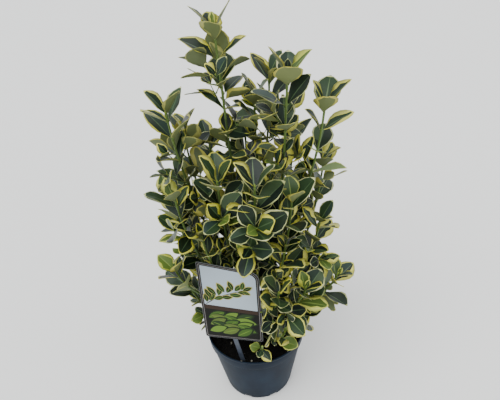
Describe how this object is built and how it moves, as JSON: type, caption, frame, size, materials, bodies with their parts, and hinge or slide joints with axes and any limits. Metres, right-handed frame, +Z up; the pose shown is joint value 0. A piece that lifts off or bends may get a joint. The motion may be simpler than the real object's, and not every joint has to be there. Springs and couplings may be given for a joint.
{
  "type": "marieke japanese euonymus shrub in a nursery pot",
  "caption": "Bushy upright evergreen shrub with yellow-margined leathery leaves, in a tapered plastic nursery pot with a picture card on a strap.",
  "frame": {"origin": "centre of the pot's flat underside, on the surface that the pot stands on", "axes": "+Z up along the plant, +X to the right and -Y towards the side that carries the picture card"},
  "size_m": [0.3163, 0.2946, 0.6852],
  "materials": {
    "pot": "moulded blue-grey polypropylene, satin, a little dusty",
    "soil": "moist, crumbly peat and bark compost, matte",
    "bark": "grey-brown young bark with fine fissures, matte",
    "foliage": "leathery leaves, satin above and matte below, dark green with broad yellow margins",
    "card": "printed plastic card, glossy",
    "strap": "dark grey flexible plastic, satin"
  },
  "bodies": {
    "root": {"pot": "pot", "soil": "soil", "trunk": "bark", "bough_centre": "bark", "bough_front": "bark", "bough_front_left": "bark", "bough_left": "bark", "bough_back_left": "bark", "bough_back": "bark", "bough_back_right": "bark", "bough_right": "bark", "bough_front_right": "bark", "foliage_tall_left": "foliage", "foliage_tall_right": "foliage", "foliage_inner": "foliage", "foliage_centre_front": "foliage", "foliage_front_middle": "foliage", "foliage_front_low": "foliage", "foliage_left_front": "foliage", "foliage_left_inner": "foliage", "foliage_left_rosette": "foliage", "foliage_far_left": "foliage", "foliage_left_edge": "foliage", "foliage_left_edge_low": "foliage", "foliage_left_back": "foliage", "foliage_back_left": "foliage", "foliage_left_back_edge": "foliage", "foliage_centre_back": "foliage", "foliage_back_middle": "foliage", "foliage_back_inner": "foliage", "foliage_right_back": "foliage", "foliage_back_right": "foliage", "foliage_right_inner": "foliage", "foliage_far_right": "foliage", "foliage_right_edge_low": "foliage", "foliage_right_back_edge": "foliage", "foliage_right_front": "foliage", "foliage_right_rosette": "foliage", "foliage_far_right_low": "foliage", "foliage_foot_right": "foliage", "foliage_foot_front": "foliage", "foliage_foot_small": "foliage", "foliage_foot_front_left": "foliage", "foliage_foot_left": "foliage", "foliage_foot_left_inner": "foliage", "foliage_foot_back_left": "foliage", "foliage_foot_back": "foliage", "foliage_foot_back_right": "foliage", "picture_card": "card", "card_stake": "strap"}
  },
  "joints": []
}
